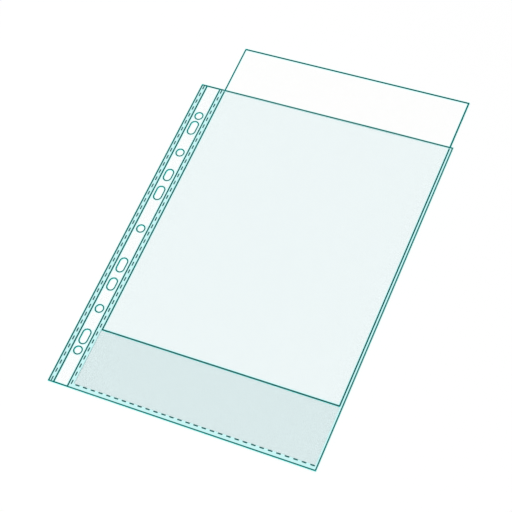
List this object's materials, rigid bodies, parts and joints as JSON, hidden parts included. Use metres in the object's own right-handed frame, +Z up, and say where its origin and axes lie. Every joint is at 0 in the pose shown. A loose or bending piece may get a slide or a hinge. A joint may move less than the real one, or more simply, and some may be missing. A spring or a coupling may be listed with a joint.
{
  "type": "sheet protector",
  "caption": "Clear film pocket with a white reinforced binding strip punched for ring binders, welded seams, a folded side and an open top, with a paper sheet that slides in and out.",
  "frame": {"origin": "on the axis of the middle ring hole, at the underside", "axes": "+X from the binding edge to the folded edge, +Y from the welded bottom to the open mouth, +Z up through the film"},
  "size_m": [0.2343, 0.352, 0.0004],
  "materials": {
    "clear_film": "gloss",
    "white_strip": "satin",
    "weld_bead": "gloss",
    "paper": "matte"
  },
  "bodies": {
    "binding_edge": {"back_margin": "clear_film", "front_margin": "clear_film", "reinforcing_strip": "white_strip", "outer_weld": "weld_bead"},
    "pocket": {"back_panel": "clear_film", "front_panel": "clear_film", "side_fold": "clear_film", "inner_weld": "weld_bead", "bottom_weld": "weld_bead"},
    "sheet": {"insert_sheet": "paper"}
  },
  "joints": [
    {"name": "pocket_crease", "type": "hinge", "parent": "binding_edge", "child": "pocket", "pos_m": [0.007, 0, 0.00022], "axis": [0, -1, 0], "range_deg": [0, 120]},
    {"name": "sheet_slide", "type": "slide", "parent": "pocket", "child": "sheet", "axis": [0, 1, 0], "range_m": [-0.05, 0.255]}
  ]
}
